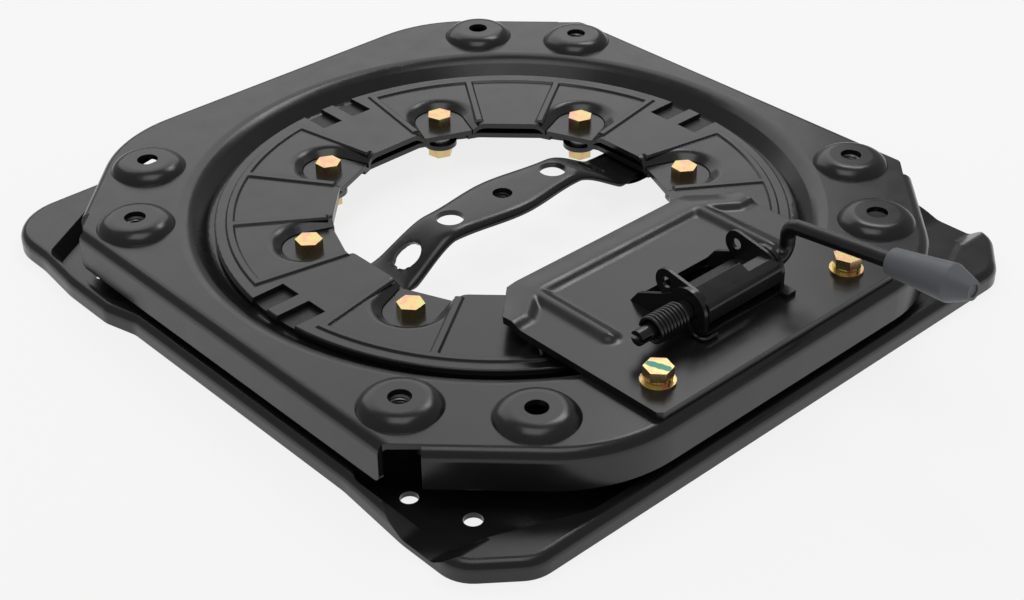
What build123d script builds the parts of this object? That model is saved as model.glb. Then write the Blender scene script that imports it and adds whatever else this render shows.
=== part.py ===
from build123d import *
import os
from math import acos, atan2, cos, degrees, hypot, radians, sin, sqrt, tan

# Swivel seat base for a caravan or camper seat, pressed from steel sheet. A base plate bolts to the
# seat box, a top plate carries the seat and turns on it between two glide rings, and a sprung pawl
# on a cranked lever drops into slots in the retaining ring to lock the seat at each quarter turn.
# The origin is on the turning axis at the base plate's underside. +Z is up and -Y is the lever side.

# Sheet thicknesses
BASE_SHEET = 3.0
TOP_SHEET = 3.0
RING_SHEET = 3.0
CLAMP_SHEET = 3.0
BAR_SHEET = 3.0
LOCK_SHEET = 4.0
LATCH_SHEET = 2.5
PAWL_SHEET = 3.0
EAR_SHEET = 2.0

# Clearances
RUN_GAP = 0.1
SIDE_GAP = 0.3
THREAD_GAP = 0.05
SHAFT_GAP = 0.05
HOLE_GAP = 0.25

# Levels, worked up from the base plate's underside
RIM_HEIGHT = 10.7
DECK_HEIGHT = 16.0
TRACK_RISE = 4.4
LOWER_GLIDE_THICK = 2.2
UPPER_GLIDE_THICK = 2.9
RECESS_DEPTH = 11.9
SKIRT_DEPTH = 21.6
BOSS_RISE = 5.4

track_z = DECK_HEIGHT + TRACK_RISE
ledge_bottom = track_z + LOWER_GLIDE_THICK + RUN_GAP
ledge_top = ledge_bottom + TOP_SHEET
ring_bottom = ledge_top + RUN_GAP + UPPER_GLIDE_THICK
ring_top = ring_bottom + RING_SHEET
flat_top = ledge_top + RECESS_DEPTH
flat_bottom = flat_top - TOP_SHEET
boss_top = flat_top + BOSS_RISE
skirt_bottom = flat_top - SKIRT_DEPTH

# Base plate in plan: it is waisted at its sides, swells towards its corners and is cut slanting in front
DECK_RADIUS = 178.0
DECK_SPREAD = 8.0
BASE_END_MARGIN = 31.0
WAIST_MARGIN = 17.4
SWELL_FRONT_MARGIN = 21.6
SWELL_BACK_MARGIN = 22.6
BACK_CORNER_MARGIN = 19.2
FRONT_CUT_WIDE = 28.6
FRONT_CUT_LONG = 23.0
WAIST_FRONT_Y = -103.0
WAIST_BACK_Y = 72.0
SWELL_FRONT_Y = -150.0
SWELL_BACK_FROM = 92.0
SWELL_BACK_TO = 128.0
BACK_CORNER_FROM = 160.0
BACK_CORNER_ROUND = 34.0
FRONT_CUT_ROUND = 20.0
SWELL_ROUND = 60.0
SHOULDER_ROUND = 16.0
RIM_FOLD = 5.0
RIM_WIDTH = 11.0
TRACK_IN = 134.0
TRACK_OUT = 160.0
TRACK_SLOPE = 3.0
BASE_OPENING = 111.0
TAB_RADIUS = 10.0

base_y = DECK_RADIUS + BASE_END_MARGIN
deck_foot = DECK_RADIUS + DECK_SPREAD
waist_x = DECK_RADIUS + WAIST_MARGIN
swell_front_x = DECK_RADIUS + SWELL_FRONT_MARGIN
swell_back_x = DECK_RADIUS + SWELL_BACK_MARGIN
back_corner_x = DECK_RADIUS + BACK_CORNER_MARGIN
front_cut_x = swell_front_x - FRONT_CUT_WIDE
front_cut_y = base_y - FRONT_CUT_LONG

# Low pockets in the base plate's corners, with the holes for the seat box bolts
POCKET_SLOPE = 35.0
POCKET_DECK_GAP = 3.0
POCKET_FRONT_START = 108.0
POCKET_BACK_START = 92.0
POCKET_INNER_X = 80.0
POCKET_ROUND = 5.0
HORN_Y = 171.0
HORN_END_X = 128.0
POCKET_END_MARGIN = 14.0
BACK_PLATEAU_Y = 156.0
SADDLE_BACK = -150.0
SADDLE_BACK_CREST = -131.0
SADDLE_FRONT_CREST = -182.0
SADDLE_ROUND = 12.0
SADDLE_WIDE = 23.0
BOX_HOLE_X = 178.3
BOX_HOLE_Y = 130.2
BOX_HOLE = 9.0
CORNER_HOLE_X = 167.2
CORNER_HOLE_Y = 161.8
CORNER_HOLE = 9.5

# Top plate in plan
TOP_SIDE_MARGIN = 26.4
TOP_END_MARGIN = 46.3
TOP_SLANT_MARGIN = 38.0
TOP_CORNER_ROUND = 80.0
TOP_FOLD = 6.0
RECESS_RADIUS = 172.0
RECESS_BEND_HIGH = 11.0
RECESS_BEND_LOW = 5.0
LEDGE_OUT = 161.0
LEDGE_IN = 139.0
NOTCH_SKIRT = (3.0, 5.3)
NOTCH_FLAT = (5.3, 1.7)
NOTCH_DEEP = (15.0, -7.5)
NOTCH_SLANT = (12.1, -10.9)
NOTCH_REACH = 10.0
SKIRT_CORNER_ROUND = 3.5
BOSS_RADIUS = 21.0
BOSS_FLAT = 12.0
SEAT_HOLE = 11.5
SEAT_WIDE_X = 165.0
SEAT_WIDE_Y = 110.0
SEAT_LONG_X = 125.0
SEAT_LONG_Y = 159.0
WELD_NUT_THREAD = 10.0
WELD_NUT_FLATS = 17.0
WELD_NUT_HEIGHT = 8.0

top_x = SEAT_WIDE_X + TOP_SIDE_MARGIN
top_y = SEAT_LONG_Y + TOP_END_MARGIN
top_slant = SEAT_LONG_X + SEAT_LONG_Y + TOP_SLANT_MARGIN
top_side_y = top_slant - top_x

# Retaining ring, its beads, bolt openings and lock slots
RING_OUT = 157.5
RING_SIDES = 16
RING_IN_FLAT = 92.0
RING_EDGE_ROUND = 1.2
BEAD_WIDTH = 5.2
BEAD_RISE = 1.1
BEAD_SLOPE = 45.0
BEAD_TOP_ROUND = 0.8
BEAD_ANGLE = 10.6
BEAD_ARC_RADIUS = 149.0
BEAD_IN_RADIUS = 96.0
BOLT_COUNT = 8
BOLT_CIRCLE = 220.0
DISH_OPENING = 15.0
DISH_DROP = 3.8
DISH_SLOPE = 55.0
DISH_ROUND = 7.0
SLOT_NEAR = 4.15
SLOT_FAR = 17.6
SLOT_IN_RADIUS = 137.0
CLAMP_OUT = 128.0
CLAMP_IN_FLAT = 93.0
PAD_RISE = 2.5
PAD_GAP = 0.4

dish_level = ring_top - DISH_DROP
clamp_top = dish_level - RING_SHEET
clamp_bottom = clamp_top - CLAMP_SHEET
pad_top = clamp_top + PAD_RISE
pad_bottom = pad_top - CLAMP_SHEET

# Glide rings
GLIDE_OUT = 156.0
GLIDE_LIP = 3.3

# Bolts of one size hold the ring and the lock plate
THREAD = 8.0
HEAD_FLATS = 13.0
HEAD_HEIGHT = 5.4
NUT_HEIGHT = 6.5
HEAD_CHAMFER = 0.9
CROWN_GAP = 0.2
BOLT_POINT = 1.0
BOLT_STICK_OUT = 2.2
BUSH_OUT = 14.0
WASHER_OUT = 17.5
WASHER_THICK = 1.6
SPRING_WASHER_OUT = 14.2
SPRING_WASHER_THICK = 2.0
SPRING_WASHER_CUT = 1.2
SPRING_WASHER_LEAN = 20.0

# Cross bar
BAR_TOP = 38.0
BAR_FLAT_HALF = 48.0
BAR_FOOT_X = 87.0
BAR_END_X = 126.0
BAR_MID_HALF = 19.0
BAR_WAIST_X = 45.0
BAR_WAIST_HALF = 14.0
BAR_END_HALF = 17.0
BAR_FLANGE = 8.0
BAR_SHOULDER_ROUND = 22.0
BAR_FOOT_ROUND = 12.0
BAR_ROUND_HOLE = 15.5
BAR_ROUND_HOLE_X = 38.2
BAR_OVAL_LONG = 20.0
BAR_OVAL_WIDE = 12.0
BAR_OVAL_X = 69.0

# Lock plate
LOCK_HALF = 87.3
LOCK_FRONT = -200.4
LOCK_BACK = -75.0
LOCK_CHAMFER_Y = -95.0
LOCK_CHAMFER_X = 66.0
LOCK_FRONT_ROUND = 4.0
LOCK_STRIP_DROP = 3.0
LOCK_STRIP_IN_X = 61.0
LOCK_STRIP_IN_Y = -101.0
LOCK_STRIP_INNER_X = 76.0
LOCK_STRIP_INNER_Y = -87.0
LOCK_BEAD_X = 62.0
LOCK_BEAD_BACK = -92.0
LOCK_BEAD_FRONT = -153.0
LOCK_BEAD_WIDTH = 12.5
LOCK_BEAD_RISE = 2.2
LOCK_BEAD_CORNER = 14.0
WINDOW_FRONT = -166.0
WINDOW_BACK = -125.5
LOCK_BOLT_X = 69.5
LOCK_BOLT_Y = -182.0

lock_bottom = flat_top
lock_top = lock_bottom + LOCK_SHEET

# Latch bracket: two cheeks for the lever rod, joined by a low strip along the front
ROD_Y = -162.5
ROD_Z = 53.2
ROD_DIAMETER = 8.0
CHEEK_IN = 26.85
CHEEK_BOSS = 11.8
CHEEK_BACK = -125.6
CHEEK_STEP_Y = -130.3
CHEEK_STEP_Z = 48.0
CHEEK_TOP_Y = -146.5
CHEEK_TOP_Z = 55.2
BRACKET_STRIP = 4.6
BRACKET_TAB_WIDE = 4.3
BRACKET_TAB_LONG = 4.4

# Lever: a rod cranked up and forward, with a grip pushed over its end
ROD_LEFT = -63.7
ROD_SLOT_WIDE = 2.2
ROD_SLOT_LONG = 6.0
CRANK_X = 44.6
CRANK_TOP = 70.4
CRANK_ROUND = 7.0
ARM_END_Y = -262.0
ARM_SLOPE = 0.11
CLIP_THICK = 4.2
CLIP_OUT = 11.0
GRIP_START_Y = -224.0
GRIP_LONG = 46.5
GRIP_TAPER_LONG = 12.0
GRIP_START = 13.8
GRIP_WIDE = 19.4
GRIP_TIP = 9.6
GRIP_LIP_ROUND = 1.6
GRIP_WIDE_ROUND = 3.0
GRIP_TIP_DISH = 6.4
GRIP_TIP_DISH_DEPTH = 0.8
GRIP_BORE_END = 8.0

# Pawl: a folded channel on the rod, with an ear at each end and two teeth that drop into the ring
EAR_HOLE = 6.0
EAR_HOLE_Y = -146.2
EAR_HOLE_Z = 60.4
EAR_ROUND = 7.1
EAR_BOSS = 11.2
CHANNEL_FRONT = -174.6
CHANNEL_LOW = 50.2
CHANNEL_BEND_Z = 59.2
CHANNEL_MID_Y = -168.5
CHANNEL_MID_Z = 61.8
CHANNEL_END_Y = -162.6
CHANNEL_END_Z = 64.2
CHANNEL_STEP_X = 8.0
CHANNEL_ROUND = 3.6
TOOTH_Y = -144.0
TOOTH_TIP = 33.0
TOOTH_NEAR = 5.2
TOOTH_FAR = 16.6
TOOTH_ROOT = 46.0

# Torsion spring round the rod's left end, hooked on the latch bracket's front
SPRING_WIRE = 1.9
SPRING_MEAN = 13.0
SPRING_RIGHT = -34.7
SPRING_TURNS = 8.5
SPRING_PITCH = 2.2
SPRING_LEG_X = -31.2
SPRING_HOOK_X = -22.0
SPRING_HOOK_LIFT = 0.6
SPRING_HOOK_GAP = 1.0
SPRING_HOOK_ROUND = 3.0

window_half = CHEEK_IN + LATCH_SHEET + RUN_GAP
rod_radius = ROD_DIAMETER / 2
cheek_out = CHEEK_IN + LATCH_SHEET
bracket_front = ROD_Y - CHEEK_BOSS
ear_out = CHEEK_IN - SIDE_GAP


def slab(outline, low, high):
    """A flat outline extruded between two levels."""
    return extrude(Pos(0, 0, low) * outline, high - low)


def polygon(*points):
    """A face from a closed run of points."""
    return make_face(Polyline(*points, close=True))


def disc(radius, low, high, x=0.0, y=0.0):
    """A cylinder between two levels."""
    return slab(Pos(x, y) * Circle(radius), low, high)


def corners(sketch, radius, places):
    """Round the vertices of a sketch that lie at the given places."""
    picked = []
    for x, y in places:
        picked.append(sketch.vertices().sort_by_distance((x, y, 0))[0])
    return fillet(picked, radius)


def rounded(*points):
    """A face from a closed run of points, where a third value rounds that corner."""
    face = polygon(*[point[:2] for point in points])
    for point in points:
        if len(point) == 3:
            face = corners(face, point[2], [point[:2]])
    return face


def turned(face):
    """A solid of revolution about Z from a face drawn as (radius, height)."""
    return revolve(Plane.XZ * face, Axis.Z)


def upright(face, half):
    """A face drawn as (x, z) made solid across the width."""
    return extrude(Plane.XZ * face, half, both=True)


def sideways(face, low_x, high_x):
    """A face drawn as (y, z) made solid between two places along X."""
    return extrude(Plane.YZ.offset(low_x) * face, high_x - low_x)


def edges_at(solid, level):
    """The edges of a solid that lie wholly at one height."""
    found = []
    for edge in solid.edges():
        box = edge.bounding_box()
        if abs(box.min.Z - level) < 1e-4 and abs(box.max.Z - level) < 1e-4:
            found.append(edge)
    return ShapeList(found)


def at_bolts():
    """Places of the ring bolts."""
    return PolarLocations(BOLT_CIRCLE / 2, BOLT_COUNT, start_angle=180 / BOLT_COUNT)


def at_quadrants():
    """The four quarter turns."""
    return [Rot(0, 0, 90 * quarter) for quarter in range(4)]


def at_corners():
    """The four mirrored corners, as signs of x and y."""
    return [(side, end) for side in (-1, 1) for end in (-1, 1)]


def slope_shift(inset, lean):
    """How far a sheet's inner face lies beside its outer one at a wall leaning by an angle."""
    return inset * (1 / cos(radians(lean)) - tan(radians(lean)))


def ring_opening(flat, low, high):
    """The many-sided opening of the rings."""
    sides = RegularPolygon(flat, RING_SIDES, major_radius=False, rotation=180 / RING_SIDES)
    return slab(sides, low, high)


def base_outline():
    """The base plate's outer line."""
    right = [
        (front_cut_x, -base_y, FRONT_CUT_ROUND),
        (swell_front_x, -front_cut_y, FRONT_CUT_ROUND),
        (swell_front_x, SWELL_FRONT_Y, SWELL_ROUND),
        (waist_x, WAIST_FRONT_Y, SWELL_ROUND),
        (waist_x, WAIST_BACK_Y, SHOULDER_ROUND),
        (swell_back_x, SWELL_BACK_FROM, SHOULDER_ROUND),
        (swell_back_x, SWELL_BACK_TO, SWELL_ROUND),
        (back_corner_x, BACK_CORNER_FROM, SWELL_ROUND),
        (back_corner_x, base_y, BACK_CORNER_ROUND),
    ]
    left = [(-x, y, radius) for x, y, radius in reversed(right)]
    return rounded(*right, *left)


def corner_pocket(side, end):
    """Floor of one low pocket between the deck and the rim; end is -1 at the front, 1 at the back."""
    rim_x = swell_front_x - RIM_WIDTH
    end_y = base_y - POCKET_END_MARGIN
    start_y = POCKET_FRONT_START if end < 0 else POCKET_BACK_START
    horn_y = HORN_Y if end < 0 else BACK_PLATEAU_Y
    loop = [
        (POCKET_INNER_X, start_y),
        (rim_x, start_y),
        (rim_x, horn_y),
        (HORN_END_X, end_y),
        (POCKET_INNER_X, end_y),
    ]
    floor = polygon(*[(side * x, end * y) for x, y in loop]) - Circle(deck_foot + POCKET_DECK_GAP)
    return fillet(floor.vertices(), POCKET_ROUND)


def side_saddle(inset):
    """What is cut from both side rims near the front corners, where the rim dips to the floor."""
    crest = RIM_HEIGHT - inset
    floor = BASE_SHEET - inset
    above = DECK_HEIGHT
    dip = rounded(
        (SADDLE_BACK_CREST + SADDLE_ROUND, above),
        (SADDLE_BACK_CREST + SADDLE_ROUND, crest),
        (SADDLE_BACK_CREST, crest, SADDLE_ROUND),
        (SADDLE_BACK, floor, SADDLE_ROUND),
        (-HORN_Y, floor, SADDLE_ROUND / 2),
        (SADDLE_FRONT_CREST, crest, SADDLE_ROUND / 2),
        (SADDLE_FRONT_CREST - SADDLE_ROUND, crest),
        (SADDLE_FRONT_CREST - SADDLE_ROUND, above),
    )
    reach = swell_back_x + SADDLE_ROUND
    start = swell_front_x - SADDLE_WIDE
    return sideways(dip, start, reach) + sideways(dip, -reach, -start)


def base_form(inset):
    """The pressed tray's outer face, or its inner face when inset by the sheet thickness."""
    outline = base_outline()
    if inset:
        outline = offset(outline, -inset)
    low = -inset
    rim_top = RIM_HEIGHT - inset
    form = slab(outline, low, rim_top)
    form = fillet(edges_at(form, rim_top), RIM_FOLD - inset)
    form += turned(polygon(
        (0, low),
        (deck_foot - inset / 2, low),
        (deck_foot - inset / 2, rim_top),
        (DECK_RADIUS - inset / 2, DECK_HEIGHT - inset),
        (0, DECK_HEIGHT - inset),
    ))
    form += turned(polygon(
        (TRACK_IN + inset / 2, rim_top),
        (TRACK_OUT + TRACK_SLOPE - inset / 2, rim_top),
        (TRACK_OUT + TRACK_SLOPE - inset / 2, DECK_HEIGHT - inset),
        (TRACK_OUT - inset / 2, track_z - inset),
        (TRACK_IN + TRACK_SLOPE + inset / 2, track_z - inset),
        (TRACK_IN + inset / 2, DECK_HEIGHT - inset),
    ))
    grow = slope_shift(inset, POCKET_SLOPE)
    floor = BASE_SHEET - inset
    for side, end in at_corners():
        pocket = corner_pocket(side, end)
        if inset:
            pocket = offset(pocket, grow)
        form -= extrude(Pos(0, 0, floor) * pocket, DECK_HEIGHT - floor, taper=-POCKET_SLOPE)
    return form - side_saddle(inset)


def base_plate():
    """Pressed tray with a raised deck, a glide track, tabs for the ring bolts and corner pockets."""
    plate = base_form(0) - base_form(BASE_SHEET)
    opening = Circle(BASE_OPENING)
    for place in at_bolts():
        opening -= place * Circle(TAB_RADIUS)
    plate -= slab(opening, -1, track_z + 1)
    for place in at_bolts():
        plate -= place * disc(THREAD / 2 + HOLE_GAP, 0, DECK_HEIGHT + 1)
    for side, end in at_corners():
        plate -= disc(BOX_HOLE / 2, -1, RIM_HEIGHT, side * BOX_HOLE_X, end * BOX_HOLE_Y)
        plate -= disc(CORNER_HOLE / 2, -1, RIM_HEIGHT, side * CORNER_HOLE_X, end * CORNER_HOLE_Y)
    return plate


def bar_side(drop, depth, foot_depth):
    """The cross bar seen from the lever side, lowered by a drop, with its depth at middle and feet."""
    foot_top = DECK_HEIGHT + BAR_SHEET - drop
    top = BAR_TOP - drop
    right = [
        (BAR_FLAT_HALF, top, BAR_SHOULDER_ROUND),
        (BAR_FOOT_X, foot_top, BAR_FOOT_ROUND),
        (BAR_END_X, foot_top),
        (BAR_END_X, foot_top - foot_depth),
        (BAR_FOOT_X, foot_top - foot_depth, BAR_FOOT_ROUND),
        (BAR_FLAT_HALF, top - depth, BAR_SHOULDER_ROUND),
    ]
    left = [(-point[0], *point[1:]) for point in reversed(right)]
    return rounded(*right, *left)


def bar_plan(shrink):
    """The cross bar seen from above, waisted between its middle and its feet."""
    end_half = BAR_END_HALF - shrink
    waist = BAR_WAIST_HALF - shrink
    middle = BAR_MID_HALF - shrink
    edge = Spline(
        (-BAR_FOOT_X, end_half),
        (-BAR_WAIST_X, waist),
        (0, middle),
        (BAR_WAIST_X, waist),
        (BAR_FOOT_X, end_half),
        tangents=[(1, 0), (1, 0)],
    )
    other = Spline(
        (BAR_FOOT_X, -end_half),
        (BAR_WAIST_X, -waist),
        (0, -middle),
        (-BAR_WAIST_X, -waist),
        (-BAR_FOOT_X, -end_half),
        tangents=[(-1, 0), (-1, 0)],
    )
    right = Polyline(edge @ 1, (BAR_END_X, end_half), (BAR_END_X, -end_half), other @ 0)
    left = Polyline(other @ 1, (-BAR_END_X, -end_half), (-BAR_END_X, end_half), edge @ 0)
    return make_face([edge, right, other, left])


def cross_bar():
    """Strap bridging the opening, with turned-down edges that run out at its feet on the deck."""
    wide = 2 * BAR_MID_HALF
    depth = BAR_SHEET + BAR_FLANGE
    high = BAR_TOP + 1
    outer = upright(bar_side(0, depth, BAR_SHEET), wide) & slab(bar_plan(0), 0, high)
    inner = upright(bar_side(BAR_SHEET, depth, depth), wide) & slab(bar_plan(BAR_SHEET), 0, high)
    bar = outer - inner
    bar -= disc(SEAT_HOLE / 2, 0, high)
    for side in (-1, 1):
        bar -= disc(BAR_ROUND_HOLE / 2, 0, high, side * BAR_ROUND_HOLE_X)
        oval = Pos(side * BAR_OVAL_X, 0) * SlotOverall(BAR_OVAL_LONG, BAR_OVAL_WIDE)
        bar -= slab(oval, 0, high)
    return bar


def bead_plan():
    """Beads of one quarter of the ring: an arc with four spokes."""
    start = radians(BEAD_ANGLE)
    stop = radians(90 - BEAD_ANGLE)
    half = BEAD_WIDTH / 2
    outer = BEAD_ARC_RADIUS + half
    far = 2 * outer
    wedge = polygon((0, 0), (far * cos(start), far * sin(start)), (far, far), (far * cos(stop), far * sin(stop)))
    band = (Circle(outer) - Circle(BEAD_ARC_RADIUS - half)) & wedge
    length = outer - BEAD_IN_RADIUS
    for angle in (BEAD_ANGLE, 45 - BEAD_ANGLE, 45 + BEAD_ANGLE, 90 - BEAD_ANGLE):
        spoke = Rot(0, 0, angle) * Pos(BEAD_IN_RADIUS + length / 2, 0) * Rectangle(length, BEAD_WIDTH)
        band += spoke & Circle(outer)
    return band


def bolt_window(half):
    """Plan of a ring's opening at a bolt: round outside and running straight in to the middle."""
    reach = 2 * DISH_OPENING
    return Pos(-reach, 0) * SlotOverall(2 * (reach + half), 2 * half)


def ring_bead():
    """The raised beads of one quarter of the ring, with sloping sides."""
    plan = bead_plan()
    bead = slab(plan, ring_top - BEAD_RISE, ring_top)
    return bead + extrude(Pos(0, 0, ring_top) * plan, BEAD_RISE, taper=BEAD_SLOPE)


def retaining_ring():
    """Pressed ring over the top plate's ledge, dished round its bolt openings, with lock slots."""
    low = dish_level - RING_SHEET
    face = disc(RING_OUT, low, ring_top) - ring_opening(RING_IN_FLAT, low, ring_top)
    for place in at_bolts():
        dish = extrude(Pos(0, 0, dish_level) * bolt_window(DISH_OPENING), DISH_DROP, taper=-DISH_SLOPE)
        face -= place * dish
    dished = []
    for edge in edges_at(face, ring_top):
        middle = edge @ 0.5
        if RING_IN_FLAT + 1 < hypot(middle.X, middle.Y) < RING_OUT - 1:
            dished.append(edge)
    face = fillet(dished, DISH_ROUND)
    for turn in at_quadrants():
        face += turn * ring_bead()
    ring = face - Pos(0, 0, -RING_SHEET) * face
    for place in at_bolts():
        ring -= place * slab(bolt_window(DISH_OPENING), 0, ring_top)
    outer = [edge for edge in edges_at(ring, ring_top) if edge.bounding_box().size.X > 2 * RING_OUT - 1]
    ring = fillet(outer, RING_EDGE_ROUND)
    slot_long = 2 * (RING_OUT - SLOT_IN_RADIUS)
    slot = Rectangle(slot_long, SLOT_FAR - SLOT_NEAR)
    for turn in at_quadrants():
        for side in (-1, 1):
            middle = Pos(SLOT_IN_RADIUS + slot_long / 2, side * (SLOT_FAR + SLOT_NEAR) / 2)
            ring -= slab(turn * middle * slot, 0, ring_top + BEAD_RISE)
    return ring


def clamp_ring():
    """Flat ring under the retaining ring with raised pads that fill its bolt openings."""
    ring = disc(CLAMP_OUT, clamp_bottom, clamp_top)
    for place in at_bolts():
        ring += place * slab(bolt_window(DISH_OPENING - PAD_GAP), clamp_bottom, pad_top)
        ring -= place * slab(bolt_window(DISH_OPENING - CLAMP_SHEET), clamp_bottom - 1, pad_bottom)
    ring -= ring_opening(CLAMP_IN_FLAT, clamp_bottom - 1, pad_top + 1)
    for place in at_bolts():
        ring -= place * disc(THREAD / 2 + HOLE_GAP, clamp_bottom - 1, pad_top + 1)
    return ring


def lower_glide_ring():
    """Flat plastic ring on the base plate's track."""
    high = track_z + LOWER_GLIDE_THICK
    return disc(GLIDE_OUT, track_z, high) - disc(LEDGE_IN + SIDE_GAP, track_z, high)


def upper_glide_ring():
    """Plastic ring over the ledge whose lip centres the top plate."""
    lip_out = LEDGE_IN - SIDE_GAP
    lip_in = lip_out - GLIDE_LIP
    return turned(polygon(
        (lip_in, ledge_bottom),
        (lip_out, ledge_bottom),
        (lip_out, ledge_top + RUN_GAP),
        (GLIDE_OUT, ledge_top + RUN_GAP),
        (GLIDE_OUT, ring_bottom),
        (lip_in, ring_bottom),
    ))


def hex_prism(flats, low, high):
    """A hexagon across its flats between two levels."""
    return slab(RegularPolygon(flats / 2, 6, major_radius=False), low, high)


def bolt(head_low, tip):
    """Hexagon head bolt hanging down from its seat, head rounded off at its corners."""
    head_top = head_low + HEAD_HEIGHT
    crown = HEAD_FLATS / sqrt(3) + CROWN_GAP
    cap = turned(polygon(
        (0, head_low),
        (crown, head_low),
        (crown, head_top - HEAD_CHAMFER),
        (crown - 2 * HEAD_CHAMFER, head_top),
        (0, head_top),
    ))
    head = hex_prism(HEAD_FLATS, head_low, head_top) & cap
    shank = disc(THREAD / 2, tip, head_low)
    shank = chamfer(edges_at(shank, tip), BOLT_POINT)
    return head + shank


def nut(flats, bore, low, high):
    """Hexagon nut with both faces rounded off at the corners."""
    crown = flats / sqrt(3) + CROWN_GAP
    cap = turned(polygon(
        (0, low),
        (crown - 2 * HEAD_CHAMFER, low),
        (crown, low + HEAD_CHAMFER),
        (crown, high - HEAD_CHAMFER),
        (crown - 2 * HEAD_CHAMFER, high),
        (0, high),
    ))
    return (hex_prism(flats, low, high) & cap) - disc(bore / 2, low, high)


def top_outline():
    """The top plate's outer line: four slants whose front and back ends run into the sides in arcs."""
    end_x = top_slant - top_y
    round_end = TOP_CORNER_ROUND
    back = [(top_x, top_side_y), (end_x, top_y, round_end), (-end_x, top_y, round_end), (-top_x, top_side_y)]
    front = [(point[0], -point[1], *point[2:]) for point in reversed(back)]
    return rounded(*back, *front)


def seat_bosses():
    """Places of the eight raised bosses that carry the seat."""
    places = []
    for side, end in at_corners():
        places.append((side * SEAT_WIDE_X, end * SEAT_WIDE_Y))
        places.append((side * SEAT_LONG_X, end * SEAT_LONG_Y))
    return places


def boss_dome(inset):
    """One boss about its own axis: a flat top whose edge falls in an arc to a crease on the plate."""
    arc = BOSS_RADIUS - BOSS_FLAT
    curve = (arc * arc + BOSS_RISE * BOSS_RISE) / (2 * BOSS_RISE)
    centre_z = boss_top - curve
    top = boss_top - inset
    low = flat_bottom - inset / 2
    edge = Pos(BOSS_FLAT, centre_z) * Circle(curve - inset)
    edge &= polygon((BOSS_FLAT, low), (BOSS_FLAT + curve, low), (BOSS_FLAT + curve, top), (BOSS_FLAT, top))
    return turned(polygon((0, low), (BOSS_FLAT, low), (BOSS_FLAT, top), (0, top)) + edge)


def top_form(inset):
    """The top plate's outer face, or its inner face when inset by the sheet thickness."""
    outline = top_outline()
    if inset:
        outline = offset(outline, -inset, kind=Kind.INTERSECTION)
    high = flat_top - inset
    low = skirt_bottom - inset / 2
    form = slab(outline, low, high)
    form = fillet(edges_at(form, high), TOP_FOLD - inset)
    grow = slope_shift(inset, degrees(atan2(RECESS_RADIUS - LEDGE_OUT, RECESS_DEPTH)))
    far = 2 * RECESS_RADIUS
    form -= turned(rounded(
        (0, ledge_top - inset),
        (LEDGE_OUT + grow, ledge_top - inset, RECESS_BEND_LOW + inset),
        (RECESS_RADIUS + grow, high, RECESS_BEND_HIGH - inset),
        (far, high),
        (far, high + TOP_FOLD),
        (0, high + TOP_FOLD),
    ))
    dome = boss_dome(inset)
    for x, y in seat_bosses():
        form += Pos(x, y) * dome
    return form


def corner_notch(side, end):
    """Plan of the notch where the skirt is cut away between a side and a slant."""
    points = []
    for back_x, back_y in (NOTCH_SKIRT, NOTCH_FLAT, NOTCH_DEEP, NOTCH_SLANT):
        points.append((top_x - back_x, top_side_y - back_y))
    slant_x, slant_y = points[-1]
    points.append((slant_x + NOTCH_REACH, slant_y + NOTCH_REACH))
    points.append((top_x + NOTCH_REACH, slant_y + NOTCH_REACH))
    points.append((top_x + NOTCH_REACH, points[0][1]))
    return polygon(*[(side * x, end * y) for x, y in points])


def top_plate():
    """Pressed plate with a skirt, a round recess with a ledge, bosses and corner notches."""
    plate = top_form(0) - top_form(TOP_SHEET)
    plate -= disc(LEDGE_IN, 0, boss_top)
    for x, y in seat_bosses():
        plate -= disc(SEAT_HOLE / 2, flat_bottom, boss_top + 1, x, y)
    for side, end in at_corners():
        plate -= slab(corner_notch(side, end), skirt_bottom - 1, boss_top)
    ends = []
    for edge in edges_at(plate, skirt_bottom):
        box = edge.bounding_box()
        if box.size.Y < 0.01 and box.size.X < 2 * TOP_SHEET:
            ends.append(edge)
    plate = fillet(ends, SKIRT_CORNER_ROUND)
    for side in (-1, 1):
        plate -= disc(THREAD / 2 + HOLE_GAP, flat_bottom - 1, flat_top + 1, side * LOCK_BOLT_X, LOCK_BOLT_Y)
    return plate


def lock_bead():
    """Raised U-shaped bead of the lock plate with a round crown and domed ends."""
    half = LOCK_BEAD_WIDTH / 2
    curve = (half * half + LOCK_BEAD_RISE * LOCK_BEAD_RISE) / (2 * LOCK_BEAD_RISE)
    level = lock_top + LOCK_BEAD_RISE - curve
    path = FilletPolyline(
        (-LOCK_BEAD_X, LOCK_BEAD_FRONT, level),
        (-LOCK_BEAD_X, LOCK_BEAD_BACK, level),
        (LOCK_BEAD_X, LOCK_BEAD_BACK, level),
        (LOCK_BEAD_X, LOCK_BEAD_FRONT, level),
        radius=LOCK_BEAD_CORNER,
    )
    bead = sweep(Plane(path @ 0, z_dir=path % 0) * Circle(curve), path=path)
    for side in (-1, 1):
        bead += Pos(side * LOCK_BEAD_X, LOCK_BEAD_FRONT, level) * Sphere(curve)
    above = Rectangle(4 * LOCK_HALF, -4 * LOCK_FRONT)
    return bead & slab(above, lock_top - LOCK_BEAD_RISE / 4, lock_top + 2 * LOCK_BEAD_RISE)


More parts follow.
